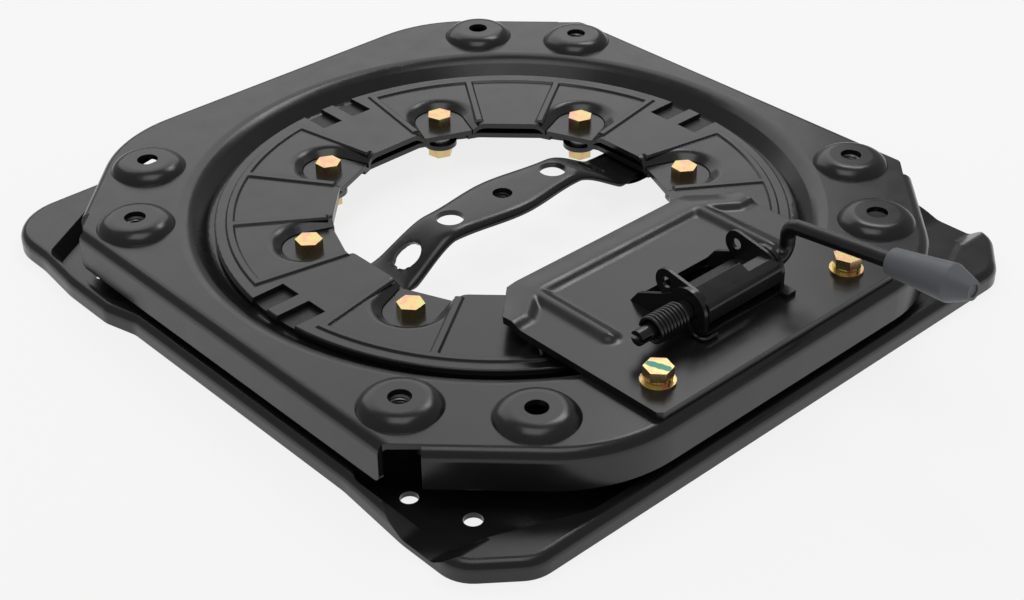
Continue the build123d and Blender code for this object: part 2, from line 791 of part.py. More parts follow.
def lock_plate():
    """Thick plate over the front of the recess with a raised bead, low strips and a window."""
    half = LOCK_HALF
    outline = rounded(
        (-half, LOCK_FRONT, LOCK_FRONT_ROUND),
        (half, LOCK_FRONT, LOCK_FRONT_ROUND),
        (half, LOCK_CHAMFER_Y),
        (LOCK_CHAMFER_X, LOCK_BACK),
        (-LOCK_CHAMFER_X, LOCK_BACK),
        (-half, LOCK_CHAMFER_Y),
    )
    plate = slab(outline, lock_bottom, lock_top)
    low = lock_top - LOCK_STRIP_DROP
    for side in (-1, 1):
        loop = [
            (2 * half, LOCK_STRIP_IN_Y),
            (LOCK_STRIP_INNER_X, LOCK_STRIP_IN_Y),
            (LOCK_STRIP_IN_X, LOCK_STRIP_INNER_Y),
            (LOCK_STRIP_IN_X, 0),
            (2 * half, 0),
        ]
        strip = polygon(*[(side * x, y) for x, y in loop])
        plate -= slab(strip, low, lock_top + 1)
        plate += slab(strip & outline, lock_bottom - LOCK_STRIP_DROP, low)
    plate += lock_bead()
    window = Pos(0, (WINDOW_FRONT + WINDOW_BACK) / 2) * Rectangle(2 * window_half, WINDOW_BACK - WINDOW_FRONT)
    plate -= slab(window, lock_bottom - 1, lock_top + 1)
    for side in (-1, 1):
        plate -= disc(THREAD / 2 + HOLE_GAP, lock_bottom - 1, lock_top + 1, side * LOCK_BOLT_X, LOCK_BOLT_Y)
    return plate


def latch_bracket():
    """Two cheeks on the lock plate that carry the rod, joined by a strip in front, with a small tab."""
    cheek = polygon(
        (bracket_front, lock_top),
        (WINDOW_FRONT, lock_top),
        (WINDOW_FRONT, lock_bottom),
        (CHEEK_BACK, lock_bottom),
        (CHEEK_BACK, lock_top),
        (CHEEK_STEP_Y, CHEEK_STEP_Z),
        (CHEEK_TOP_Y, CHEEK_TOP_Z),
        (ROD_Y, ROD_Z + CHEEK_BOSS),
        (bracket_front, ROD_Z),
    )
    cheek += Pos(ROD_Y, ROD_Z) * Circle(CHEEK_BOSS)
    cheek -= Pos(ROD_Y, ROD_Z) * Circle(rod_radius + SHAFT_GAP)
    bracket = sideways(cheek, CHEEK_IN, cheek_out) + sideways(cheek, -cheek_out, -CHEEK_IN)
    strip = Pos(0, bracket_front + BRACKET_STRIP / 2) * Rectangle(2 * cheek_out, BRACKET_STRIP)
    tab = Pos(CHEEK_IN, bracket_front - BRACKET_TAB_LONG) * Rectangle(
        LATCH_SHEET + BRACKET_TAB_WIDE, 2 * BRACKET_STRIP, align=(Align.MIN, Align.MIN))
    return bracket + slab(strip + tab, lock_top, lock_top + LATCH_SHEET)


def lever_path():
    """The rod's centre line: along the pivot, up the crank and forward along the arm."""
    arm_end = CRANK_TOP + ARM_SLOPE * (ROD_Y - ARM_END_Y)
    return FilletPolyline(
        (ROD_LEFT, ROD_Y, ROD_Z),
        (CRANK_X, ROD_Y, ROD_Z),
        (CRANK_X, ROD_Y, CRANK_TOP),
        (CRANK_X, ARM_END_Y, arm_end),
        radius=CRANK_ROUND,
    )


def lever_rod():
    """Round rod, slotted at its left end for the spring and cranked at its right end."""
    path = lever_path()
    rod = sweep(Plane(path @ 0, z_dir=path % 0) * Circle(rod_radius), path=path)
    slot = Box(ROD_SLOT_LONG, 2 * ROD_DIAMETER, ROD_SLOT_WIDE)
    return rod - Pos(ROD_LEFT + ROD_SLOT_LONG / 2, ROD_Y, ROD_Z) * slot


def hull(first, second):
    """The outline of a tight belt round two circles, each given as (x, y, radius)."""
    (x1, y1, r1), (x2, y2, r2) = first, second
    gap = hypot(x2 - x1, y2 - y1)
    along = atan2(y2 - y1, x2 - x1)
    lean = acos((r1 - r2) / gap)
    up = (cos(along + lean), sin(along + lean))
    down = (cos(along - lean), sin(along - lean))
    belt = polygon(
        (x1 + r1 * up[0], y1 + r1 * up[1]),
        (x2 + r2 * up[0], y2 + r2 * up[1]),
        (x2 + r2 * down[0], y2 + r2 * down[1]),
        (x1 + r1 * down[0], y1 + r1 * down[1]),
    )
    return belt + Pos(x1, y1) * Circle(r1) + Pos(x2, y2) * Circle(r2)


def lock_pawl():
    """Folded channel on the rod with an ear at each end and two teeth that drop into the ring."""
    bore = Pos(ROD_Y, ROD_Z) * Circle(rod_radius + SHAFT_GAP)
    ear = hull((ROD_Y, ROD_Z, EAR_BOSS), (EAR_HOLE_Y, EAR_HOLE_Z, EAR_ROUND))
    ear -= Pos(EAR_HOLE_Y, EAR_HOLE_Z) * Circle(EAR_HOLE / 2)
    ear -= bore
    drop = PAWL_SHEET / cos(atan2(CHANNEL_END_Z - CHANNEL_BEND_Z, CHANNEL_END_Y - CHANNEL_FRONT))
    channel = rounded(
        (CHANNEL_FRONT, CHANNEL_LOW),
        (CHANNEL_FRONT, CHANNEL_BEND_Z, CHANNEL_ROUND),
        (CHANNEL_MID_Y, CHANNEL_MID_Z),
        (CHANNEL_END_Y, CHANNEL_END_Z),
        (CHANNEL_END_Y, CHANNEL_END_Z - drop),
        (CHANNEL_FRONT + PAWL_SHEET, CHANNEL_BEND_Z - PAWL_SHEET / 2),
        (CHANNEL_FRONT + PAWL_SHEET, CHANNEL_LOW),
    )
    half = PAWL_SHEET / 2
    web = polygon(
        (TOOTH_Y + half, TOOTH_ROOT),
        (TOOTH_Y + half, TOOTH_ROOT + PAWL_SHEET),
        (ROD_Y, ROD_Z + rod_radius),
        (ROD_Y, ROD_Z),
        (TOOTH_Y - half, TOOTH_ROOT),
    )
    tooth = polygon(
        (TOOTH_Y - half, TOOTH_TIP),
        (TOOTH_Y + half, TOOTH_TIP),
        (TOOTH_Y + half, TOOTH_ROOT + half),
        (TOOTH_Y - half, TOOTH_ROOT + half),
    )
    pawl = sideways(channel - bore, -ear_out, ear_out) + sideways(web - bore, -ear_out, ear_out)
    pawl -= Pos(CHANNEL_STEP_X, CHANNEL_MID_Y, CHANNEL_MID_Z) * Box(
        ear_out - EAR_SHEET - CHANNEL_STEP_X, 2 * PAWL_SHEET, 2 * PAWL_SHEET, align=Align.MIN)
    for side in (-1, 1):
        pawl += sideways(ear, side * ear_out - EAR_SHEET * (side + 1) / 2, side * ear_out - EAR_SHEET * (side - 1) / 2)
        middle = side * (TOOTH_NEAR + TOOTH_FAR) / 2
        wide = TOOTH_FAR - TOOTH_NEAR
        pawl += sideways(tooth, middle - wide / 2, middle + wide / 2)
    return pawl


def lever_grip():
    """Plastic sleeve pushed over the arm, widening to a tapered tip with a small dish in it."""
    path = lever_path()
    direction = path % 1
    profile = rounded(
        (0, 0),
        (GRIP_START / 2, 0, GRIP_LIP_ROUND),
        (GRIP_WIDE / 2, GRIP_LONG - GRIP_TAPER_LONG, GRIP_WIDE_ROUND),
        (GRIP_TIP / 2, GRIP_LONG),
        (GRIP_TIP_DISH / 2, GRIP_LONG),
        (GRIP_TIP_DISH / 2, GRIP_LONG - GRIP_TIP_DISH_DEPTH),
        (0, GRIP_LONG - GRIP_TIP_DISH_DEPTH),
    )
    sleeve = turned(profile) - disc(rod_radius + SHAFT_GAP, 0, GRIP_LONG - GRIP_BORE_END)
    origin = path @ 1 - direction * ((path @ 1).Y - GRIP_START_Y) / direction.Y
    return Plane(origin, z_dir=direction) * sleeve


def rod_clip():
    """Retaining collar on the rod beside the left cheek."""
    right = -(cheek_out + SIDE_GAP)
    ring = Pos(ROD_Y, ROD_Z) * (Circle(CLIP_OUT / 2) - Circle(rod_radius + THREAD_GAP))
    return sideways(ring, right - CLIP_THICK, right)


def torsion_spring():
    """Close coil round the rod, with a leg that runs down and hooks round the latch bracket's front."""
    radius = SPRING_MEAN / 2
    wire = SPRING_WIRE / 2
    coil = Helix(SPRING_PITCH, SPRING_TURNS * SPRING_PITCH, radius)
    turns = sweep(Plane(coil @ 0, z_dir=coil % 0) * Circle(wire), path=coil, is_frenet=True)
    spring = Pos(SPRING_RIGHT - wire, ROD_Y, ROD_Z) * Rot(0, -90, 0) * Rot(0, 0, -90) * turns
    start = (SPRING_RIGHT - wire, ROD_Y - radius, ROD_Z)
    level = lock_top + wire + SPRING_HOOK_LIFT
    hook_y = bracket_front - wire - SPRING_HOOK_GAP
    leg = FilletPolyline(
        start,
        (SPRING_LEG_X, ROD_Y - radius, level),
        (SPRING_LEG_X, hook_y, level),
        (SPRING_HOOK_X, hook_y, level),
        radius=SPRING_HOOK_ROUND,
    )
    spring += Pos(*start) * Sphere(wire)
    return spring + sweep(Plane(leg @ 0, z_dir=leg % 0) * Circle(wire), path=leg)


def spring_washer(x):
    """Split lock washer under a lock bolt's head."""
    low = lock_top + WASHER_THICK
    high = low + SPRING_WASHER_THICK
    radius = SPRING_WASHER_OUT / 2
    ring = disc(radius, low, high) - disc(THREAD / 2 + HOLE_GAP, low, high)
    cut = Box(SPRING_WASHER_CUT, radius, 2 * SPRING_WASHER_THICK, align=(Align.CENTER, Align.MAX, Align.CENTER))
    return Pos(x, LOCK_BOLT_Y) * (ring - Pos(0, -THREAD / 4, (low + high) / 2) * Rot(0, SPRING_WASHER_LEAN, 0) * cut)


def flat_washer(x):
    """Plain washer on the lock plate."""
    high = lock_top + WASHER_THICK
    ring = disc(WASHER_OUT / 2, lock_top, high) - disc(THREAD / 2 + HOLE_GAP, lock_top, high)
    return Pos(x, LOCK_BOLT_Y) * ring


def save(name, solid):
    """Write one piece to its own file."""
    export_step(solid, os.path.join("parts", name + ".step"))


os.makedirs("parts", exist_ok=True)
save("base_plate", base_plate())
save("cross_bar", cross_bar())
save("clamp_ring", clamp_ring())
save("retaining_ring", retaining_ring())
save("lower_glide_ring", lower_glide_ring())
save("upper_glide_ring", upper_glide_ring())
save("top_plate", top_plate())
save("lock_plate", lock_plate())
save("latch_bracket", latch_bracket())
save("lever_rod", lever_rod())
save("lock_pawl", lock_pawl())
save("lever_grip", lever_grip())
save("rod_clip", rod_clip())
save("torsion_spring", torsion_spring())

ring_nut_top = DECK_HEIGHT - BASE_SHEET
nut_bore = THREAD + 2 * THREAD_GAP
ring_bolt = bolt(pad_top, ring_nut_top - NUT_HEIGHT - BOLT_STICK_OUT)
ring_nut = nut(HEAD_FLATS, nut_bore, ring_nut_top - NUT_HEIGHT, ring_nut_top)
bush = disc(BUSH_OUT / 2, DECK_HEIGHT, pad_bottom) - disc(THREAD / 2 + HOLE_GAP, DECK_HEIGHT, pad_bottom)
for number, place in enumerate(at_bolts(), 1):
    save(f"ring_bolt_{number}", place * ring_bolt)
    save(f"ring_nut_{number}", place * ring_nut)
    save(f"spacer_bush_{number}", place * bush)

weld_nut_top = boss_top - TOP_SHEET
weld_nut = nut(WELD_NUT_FLATS, WELD_NUT_THREAD, weld_nut_top - WELD_NUT_HEIGHT, weld_nut_top)
for number, (side, end) in enumerate(at_corners(), 1):
    save(f"weld_nut_{number}", Pos(side * SEAT_WIDE_X, end * SEAT_WIDE_Y) * weld_nut)
bar_nut_top = BAR_TOP - BAR_SHEET
save("bar_nut", nut(WELD_NUT_FLATS, WELD_NUT_THREAD, bar_nut_top - WELD_NUT_HEIGHT, bar_nut_top))

lock_seat = lock_top + WASHER_THICK + SPRING_WASHER_THICK
lock_bolt = bolt(lock_seat, flat_bottom - NUT_HEIGHT - BOLT_STICK_OUT)
lock_nut = nut(HEAD_FLATS, nut_bore, flat_bottom - NUT_HEIGHT, flat_bottom)
for word, side in (("left", -1), ("right", 1)):
    x = side * LOCK_BOLT_X
    save(f"lock_bolt_{word}", Pos(x, LOCK_BOLT_Y) * lock_bolt)
    save(f"lock_nut_{word}", Pos(x, LOCK_BOLT_Y) * lock_nut)
    save(f"spring_washer_{word}", spring_washer(x))
    save(f"flat_washer_{word}", flat_washer(x))
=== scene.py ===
import math

import bmesh
import bpy
from mathutils import Matrix, Quaternion, Vector


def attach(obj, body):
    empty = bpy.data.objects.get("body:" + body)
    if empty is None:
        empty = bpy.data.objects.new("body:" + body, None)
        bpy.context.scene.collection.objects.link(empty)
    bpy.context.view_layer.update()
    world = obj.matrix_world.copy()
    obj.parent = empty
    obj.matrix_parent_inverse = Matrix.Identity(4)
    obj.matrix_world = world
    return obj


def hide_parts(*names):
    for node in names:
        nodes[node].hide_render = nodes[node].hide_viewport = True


# Swivel seat base for a camper van: a black pressed base, a turning top plate and a sprung locking
# lever. The pressings are the CAD nodes themselves, and each section dresses or adds one piece.
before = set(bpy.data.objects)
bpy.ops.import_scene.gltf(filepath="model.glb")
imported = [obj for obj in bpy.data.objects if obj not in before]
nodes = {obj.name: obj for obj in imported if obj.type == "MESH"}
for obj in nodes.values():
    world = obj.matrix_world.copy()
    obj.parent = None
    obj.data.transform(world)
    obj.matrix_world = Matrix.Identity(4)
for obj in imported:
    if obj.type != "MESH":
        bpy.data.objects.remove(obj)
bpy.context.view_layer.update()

# The viewpoint: a long lens held above the front left corner, so that the lever points to the right.
# Its place and turn were solved from the ring bolts and seat holes, whose real spacing is known.
EYE = Vector((-0.57043, -0.62795, 0.53163))
LOOK_AT = Vector((-0.0735, -0.0870, 0.043))
EYE_ROLL = -0.0091
LENS_MM = 62.75

lens = bpy.data.cameras.new("viewpoint")
lens.sensor_fit = "HORIZONTAL"
lens.sensor_width = 36.0
lens.lens = LENS_MM
lens.clip_start = 0.01
viewpoint = bpy.data.objects.new("viewpoint", lens)
bpy.context.collection.objects.link(viewpoint)
viewpoint.location = EYE
viewpoint.rotation_mode = "QUATERNION"
towards = (LOOK_AT - EYE).to_track_quat("-Z", "Y")
viewpoint.rotation_quaternion = towards @ Quaternion((0.0, 0.0, 1.0), EYE_ROLL)
bpy.context.scene.camera = viewpoint
bpy.context.scene.view_settings.view_transform = "Standard"

# The studio: a sheet of matt white paper under the part in a dim grey room, so that steep faces stay
# dark. A wide panel behind and to the left lights the flats, a small box to the right draws streaks on
# rounded edges, and a third box hangs overhead.
MM = 0.001
PAPER = "f1f1f0"
PAPER_HALF_M = 1.0
PAPER_GRAIN_MM = 1.11
PAPER_TOOTH_MM = 0.2
PAPER_GLOW = 0.82
ROOM_LEVEL = 0.28


def linear(code):
    """The linear colour of an sRGB hex value such as '4f5052'."""
    channels = [int(code[i:i + 2], 16) / 255 for i in (0, 2, 4)]
    curve = [c / 12.92 if c <= 0.04045 else ((c + 0.055) / 1.055) ** 2.4 for c in channels]
    return (*curve, 1.0)


def add(tree, kind, links=None, **settings):
    """One shader node, with its settings by name and its input sockets linked or set by name."""
    node = tree.nodes.new(kind)
    for name, value in settings.items():
        setattr(node, name, value)
    for socket, value in (links or {}).items():
        if isinstance(value, bpy.types.NodeSocket):
            tree.links.new(value, node.inputs[socket])
        else:
            node.inputs[socket].default_value = value
    return node


def new_tree(holder):
    """The emptied node tree of a material or world."""
    holder.use_nodes = True
    holder.node_tree.nodes.clear()
    return holder.node_tree


studio = bpy.data.worlds.new("grey studio")
bpy.context.scene.world = studio
tree = new_tree(studio)
room = add(tree, "ShaderNodeBackground", {"Color": linear("ffffff"), "Strength": ROOM_LEVEL})
plain = add(tree, "ShaderNodeBackground", {"Color": linear("ffffff"), "Strength": 1.0})
rays = add(tree, "ShaderNodeLightPath")
seen = add(tree, "ShaderNodeMixShader",
           {0: rays.outputs["Is Camera Ray"], 1: room.outputs[0], 2: plain.outputs[0]})
add(tree, "ShaderNodeOutputWorld", {"Surface": seen.outputs[0]})

paper_mesh = bmesh.new()
bmesh.ops.create_grid(paper_mesh, x_segments=1, y_segments=1, size=PAPER_HALF_M)
paper_data = bpy.data.meshes.new("paper")
paper_mesh.to_mesh(paper_data)
paper_mesh.free()
paper = bpy.data.objects.new("paper", paper_data)
bpy.context.collection.objects.link(paper)

# Matt paper scatters light evenly, so that only the part's soft shadow marks it. The camera and the
# part's reflections see it lifted towards white.
paper_white = bpy.data.materials.new("matt white paper")
tree = new_tree(paper_white)
grain = add(tree, "ShaderNodeTexNoise", {"Scale": 1 / (PAPER_GRAIN_MM * MM), "Detail": 3.0})
tooth = add(tree, "ShaderNodeBump", {"Strength": 0.05, "Distance": PAPER_TOOTH_MM * MM,
                                     "Height": grain.outputs["Fac"]})
matt = add(tree, "ShaderNodeBsdfDiffuse", {"Color": linear(PAPER), "Normal": tooth.outputs["Normal"]})
glow = add(tree, "ShaderNodeEmission", {"Color": linear("ffffff"), "Strength": 1.0})
rays = add(tree, "ShaderNodeLightPath")
clear = add(tree, "ShaderNodeMath", {0: rays.outputs["Is Camera Ray"], 1: rays.outputs["Is Glossy Ray"]},
            operation="MAXIMUM")
lift = add(tree, "ShaderNodeMath", {0: clear.outputs[0], 1: PAPER_GLOW}, operation="MULTIPLY")
whole = add(tree, "ShaderNodeMixShader", {0: lift.outputs[0], 1: matt.outputs[0], 2: glow.outputs[0]})
add(tree, "ShaderNodeOutputMaterial", {"Surface": whole.outputs[0]})
paper_data.materials.append(paper_white)


def soft_box(name, azimuth, elevation, distance, wide, tall, level):
    """A flat studio light that faces the part, with its place as angles and its level as radiance."""
    turn, rise = math.radians(azimuth), math.radians(elevation)
    place = Vector((math.cos(turn) * math.cos(rise), math.sin(turn) * math.cos(rise), math.sin(rise)))
    place *= distance
    data = bpy.data.lights.new(name, "AREA")
    data.shape = "RECTANGLE"
    data.size = wide
    data.size_y = tall
    data.energy = level * math.pi * wide * tall
    lamp = bpy.data.objects.new(name, data)
    bpy.context.collection.objects.link(lamp)
    lamp.location = place
    lamp.rotation_mode = "QUATERNION"
    lamp.rotation_quaternion = (-place).to_track_quat("-Z", "Y")


soft_box("back_panel", azimuth=62, elevation=36, distance=1.8, wide=1.9, tall=1.2, level=1.14)
soft_box("right_box", azimuth=22, elevation=52, distance=1.6, wide=0.55, tall=0.28, level=6.0)
soft_box("overhead_box", azimuth=215, elevation=80, distance=1.5, wide=0.8, tall=0.8, level=2.0)

# Base plate: steel sheet drawn into a tray, with a track for the glide ring and low corner pockets.
# Its black dip coat is an electrophoretic paint film, a smooth satin black with a faint orange peel
# over the slow waves that the press leaves, and it thins at the sheet's edges, which carry a glint.
COAT_DARK = "19191a"
COAT_LIGHT = "212122"
COAT_ROUGH_LOW = 0.20
COAT_ROUGH_HIGH = 0.28
COAT_DRIFT_MM = 60.0
COAT_HANDLED_MM = 14.0
PEEL_MM = 1.6
PEEL_DEEP_MM = 0.05
DRAW_MM = 38.0
DRAW_DEEP_MM = 0.4
EDGE_ROUND_MM = 0.45


def dip_coat(name, dark, light, rough_low, rough_high):
    """A dipped black paint film, with the pressing's slow waves and the paint's own peel under it."""
    paint = bpy.data.materials.new(name)
    tree = new_tree(paint)
    here = add(tree, "ShaderNodeTexCoord").outputs["Object"]
    cloud = add(tree, "ShaderNodeTexNoise",
                {"Vector": here, "Scale": 1 / (COAT_DRIFT_MM * MM), "Detail": 4.0})
    tone = add(tree, "ShaderNodeMix", {0: cloud.outputs["Fac"], 6: linear(dark), 7: linear(light)},
               data_type="RGBA")
    handled = add(tree, "ShaderNodeTexNoise",
                  {"Vector": here, "Scale": 1 / (COAT_HANDLED_MM * MM), "Detail": 5.0})
    rough = add(tree, "ShaderNodeMapRange",
                {"Value": handled.outputs["Fac"], "From Min": 0.3, "From Max": 0.7,
                 "To Min": rough_low, "To Max": rough_high})
    peel = add(tree, "ShaderNodeTexNoise", {"Vector": here, "Scale": 1 / (PEEL_MM * MM), "Detail": 2.0})
    waves = add(tree, "ShaderNodeTexNoise", {"Vector": here, "Scale": 1 / (DRAW_MM * MM), "Detail": 1.0})
    edge = add(tree, "ShaderNodeBevel", {"Radius": EDGE_ROUND_MM * MM}, samples=4)
    drawn = add(tree, "ShaderNodeBump",
                {"Strength": 0.35, "Distance": DRAW_DEEP_MM * MM, "Height": waves.outputs["Fac"],
                 "Normal": edge.outputs["Normal"]})
    skin = add(tree, "ShaderNodeBump",
               {"Strength": 0.10, "Distance": PEEL_DEEP_MM * MM, "Height": peel.outputs["Fac"],
                "Normal": drawn.outputs["Normal"]})
    film = add(tree, "ShaderNodeBsdfPrincipled",
               {"Base Color": tone.outputs[2], "Roughness": rough.outputs["Result"], "IOR": 1.5,
                "Normal": skin.outputs["Normal"]})
    add(tree, "ShaderNodeOutputMaterial", {"Surface": film.outputs[0]})
    return paint


def finish(material, *names):
    """Give CAD nodes one finish."""
    for name in names:
        for slot in nodes[name].material_slots:
            slot.material = material


coat = dip_coat("black dip coat on steel", COAT_DARK, COAT_LIGHT, COAT_ROUGH_LOW, COAT_ROUGH_HIGH)
finish(coat, "base_plate")

# Cross bar: a strap of the same sheet with its edges turned down, spot welded across the opening. A
# nut is welded under its middle hole, dipped with it, and its thread shows as a dark hole from above.
NUT_FLATS_MM = 17.0
NUT_TALL_MM = 8.0
NUT_TURNED_MM = 15.8
NUT_THREAD_MM = 10.0
NUT_PITCH_MM = 1.5
THREAD_DEPTH = 0.61
THREAD_FOOT = 0.44
THREAD_TOP = 0.07
THREAD_SINK_MM = 0.1
THREAD_NEAR_MM = 0.01
THREAD_STEPS = 32
LEVEL_NEAR_MM = 0.001
CORNER_CUTS = 7
CROWN_INSET_MM = 0.2
CROWN_SLOPE = math.tan(math.radians(38))
BAR_NUT_TOP_MM = 35.0
BAR_TOP_MM = 38.0
BAR_FOOT_MM = 19.0
BAR_SHEET_MM = 3.0
BAR_FLAT_MM = 47.0
BAR_FOOT_X_MM = 87.0
BAR_END_X_MM = 126.0
BAR_MIDDLE_MM = 19.0
BAR_WAIST_MM = 14.0
BAR_WAIST_X_MM = 45.0
BAR_END_MM = 17.0
BAR_ROLL_MM = 3.4
BAR_LIP_MM = 1.6
BAR_LIP_FADE_MM = 12.0
BAR_HOLES_MM = ((0.0, 5.5), (38.2, 7.75), (-38.2, 7.75), (69.0, 7.75), (-69.0, 7.75))
BAR_STEPS = 200
BAR_FLAT_STEPS = 14
BAR_ROLL_STEPS = 5
BAR_SMOOTHINGS = 24
RIM_REACH = 1.5
SHEET_CREASE = 45


def thread(shape, low, high, root, crest, pitch):
    """A ridge wound round Z between two heights, which fades out at both ends."""
    there = set(shape.verts)
    foot = root - math.copysign(THREAD_SINK_MM * MM, crest - root)
    section = ((foot, -THREAD_FOOT), (crest, -THREAD_TOP), (crest, THREAD_TOP), (foot, THREAD_FOOT))
    first = [shape.verts.new((radius, 0.0, low + rise * pitch)) for radius, rise in section]
    sides = [shape.edges.new((first[i - 1], first[i])) for i in range(len(first))]
    steps = round((high - low) / pitch * THREAD_STEPS)
    bmesh.ops.spin(shape, geom=first + sides, cent=(0, 0, 0), axis=(0, 0, 1),
                   dvec=(0, 0, pitch / THREAD_STEPS), angle=math.tau * steps / THREAD_STEPS, steps=steps)
    wound = [vert for vert in shape.verts if vert not in there]
    ends = {edge for vert in wound for edge in vert.link_edges if edge.is_boundary}
    bmesh.ops.holes_fill(shape, edges=list(ends), sides=len(section))
    for vert in wound:
        radius = vert.co.xy.length
        if abs(radius - crest) < THREAD_NEAR_MM * MM:
            fade = max(0.0, min(1.0, (vert.co.z - low) / (pitch / 2), (high - vert.co.z) / (pitch / 2)))
            vert.co.xy *= (root + (crest - root) * fade) / radius


def flat_at(item, level):
    """Whether every corner of an edge or face lies on one level."""
    return all(abs(vert.co.z - level) < LEVEL_NEAR_MM * MM for vert in item.verts)


def turn_corners(shape, level, crown, upward):
    """Turn the corners off a hexagon's end face, which leaves a round crown and an arc on each flat."""
    bmesh.ops.subdivide_edges(shape, edges=[edge for edge in shape.edges if flat_at(edge, level)],
                              cuts=CORNER_CUTS)
    end = [face for face in shape.faces if flat_at(face, level)]
    outer = list(end[0].verts)
    bmesh.ops.inset_region(shape, faces=end, thickness=CROWN_INSET_MM * MM)
    for vert in end[0].verts:
        vert.co.xy *= crown / vert.co.xy.length
    for vert in outer:
        drop = (vert.co.xy.length - crown) * CROWN_SLOPE
        vert.co.z = level - drop if upward else level + drop
    return end[0]


def hex_nut(shape, flats, tall, turned, bore, bottom):
    """A hexagon nut with both ends turned and a plain bore."""
    bmesh.ops.create_cone(shape, cap_ends=True, segments=6, radius1=flats / math.sqrt(3),
                          radius2=flats / math.sqrt(3), depth=tall,
                          matrix=Matrix.Translation((0, 0, bottom + tall / 2)))
    rims = []
    for level, upward in ((bottom, False), (bottom + tall, True)):
        face = turn_corners(shape, level, turned / 2, upward)
        bmesh.ops.inset_region(shape, faces=[face], thickness=CROWN_INSET_MM * MM)
        for vert in face.verts:
            vert.co.xy *= bore / vert.co.xy.length
        rims += list(face.edges)
        bmesh.ops.delete(shape, geom=[face], context="FACES_ONLY")
    bmesh.ops.bridge_loops(shape, edges=rims)


def piece(shape, name, material, body, stands_for=(), crease=30):
    """Close a mesh, shade it smooth between its creases and hang it on its body."""
    bmesh.ops.remove_doubles(shape, verts=shape.verts, dist=LEVEL_NEAR_MM * MM)
    bmesh.ops.recalc_face_normals(shape, faces=shape.faces)
    for face in shape.faces:
        face.smooth = True
    for edge in shape.edges:
        edge.smooth = edge.calc_face_angle(math.pi) < math.radians(crease)
    mesh = bpy.data.meshes.new(name)
    shape.to_mesh(mesh)
    shape.free()
    mesh.materials.append(material)
    made = bpy.data.objects.new(name, mesh)
    bpy.context.collection.objects.link(made)
    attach(made, body)
    if stands_for:
        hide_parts(*stands_for)


def weld_nut(name, x, y, top, material, body):
    """A tapped nut welded under a hole at a place in millimetres, instead of its CAD node."""
    shape = bmesh.new()
    bore, bottom = NUT_THREAD_MM / 2 * MM, (top - NUT_TALL_MM) * MM
    hex_nut(shape, NUT_FLATS_MM * MM, NUT_TALL_MM * MM, NUT_TURNED_MM * MM, bore, bottom)
    crest = bore - THREAD_DEPTH * NUT_PITCH_MM * MM
    thread(shape, bottom, top * MM, bore, crest, NUT_PITCH_MM * MM)
    bmesh.ops.translate(shape, verts=shape.verts, vec=Vector((x, y, 0)) * MM)
    piece(shape, name + "_tapped", material, body, (name,))


def punch(shape, x, y, radius):
    """Cut a round hole through a sheet of small faces, in millimetres, and draw its rim to a circle."""
    centre = Vector((x, y)) * MM
    inside = [face for face in shape.faces if (face.calc_center_median().xy - centre).length < radius * MM]
    bmesh.ops.delete(shape, geom=inside, context="FACES")
    for vert in shape.verts:
        reach = vert.co.xy - centre
        if vert.is_boundary and reach.length < RIM_REACH * radius * MM:
            vert.co.xy = centre + reach.normalized() * radius * MM


def ease(value):
    """A smooth rise from 0 to 1."""
    value = max(0.0, min(1.0, value))
    return value * value * (3 - 2 * value)


def bar_half(x):
    """Half the bar's width: full in the middle, waisted beside it and wider at the feet."""
    x = abs(x)
    if x < BAR_WAIST_X_MM:
        return BAR_MIDDLE_MM + (BAR_WAIST_MM - BAR_MIDDLE_MM) * ease(x / BAR_WAIST_X_MM)
    past = (x - BAR_WAIST_X_MM) / (BAR_FOOT_X_MM - BAR_WAIST_X_MM)
    return BAR_WAIST_MM + (BAR_END_MM - BAR_WAIST_MM) * ease(past)


def smooth_inside(shape, times):
    """Ease the heights of a sheet's inner points, and leave its edges alone."""
    for _ in range(times):
        bmesh.ops.smooth_vert(shape, verts=[vert for vert in shape.verts if not vert.is_boundary],
                              factor=0.5, use_axis_z=True)


def sheet_wall(shape, thickness):
    """Turn a sheet to face up, and give it its thickness downwards."""
    bmesh.ops.recalc_face_normals(shape, faces=shape.faces)
    if sum(face.normal.z for face in shape.faces) < 0:
        bmesh.ops.reverse_faces(shape, faces=shape.faces)
    bmesh.ops.solidify(shape, geom=list(shape.faces), thickness=thickness)


strap = bmesh.new()
across = BAR_FLAT_STEPS + 2 * BAR_ROLL_STEPS + 2
bmesh.ops.create_grid(strap, x_segments=BAR_STEPS, y_segments=across, size=1.0)
for vert in strap.verts:
    x = vert.co.x * BAR_END_X_MM
    row = round(vert.co.y * across / 2)
    half = bar_half(x) - BAR_ROLL_MM
    past = abs(row) - BAR_FLAT_STEPS / 2
    fall = max(0.0, min(1.0, (abs(x) - BAR_FLAT_MM) / (BAR_FOOT_X_MM - BAR_FLAT_MM)))
    top = BAR_TOP_MM + (BAR_FOOT_MM - BAR_TOP_MM) * (fall + ease(fall)) / 2
    if past <= 0:
        side, drop = half * row / (BAR_FLAT_STEPS / 2), 0.0
    else:
        turn = math.radians(90 * min(1.0, past / BAR_ROLL_STEPS))
        side = math.copysign(half + BAR_ROLL_MM * math.sin(turn), row)
        drop = BAR_ROLL_MM * (1 - math.cos(turn)) + (BAR_LIP_MM if past > BAR_ROLL_STEPS else 0.0)
        drop *= 1 - ease((abs(x) - BAR_FOOT_X_MM + BAR_LIP_FADE_MM) / BAR_LIP_FADE_MM)
    vert.co = Vector((x, side, top - drop)) * MM
for x, radius in BAR_HOLES_MM:
    punch(strap, x, 0.0, radius)
smooth_inside(strap, BAR_SMOOTHINGS)
sheet_wall(strap, BAR_SHEET_MM * MM)
piece(strap, "cross_bar_strap", coat, "base", ("cross_bar",), crease=SHEET_CREASE)
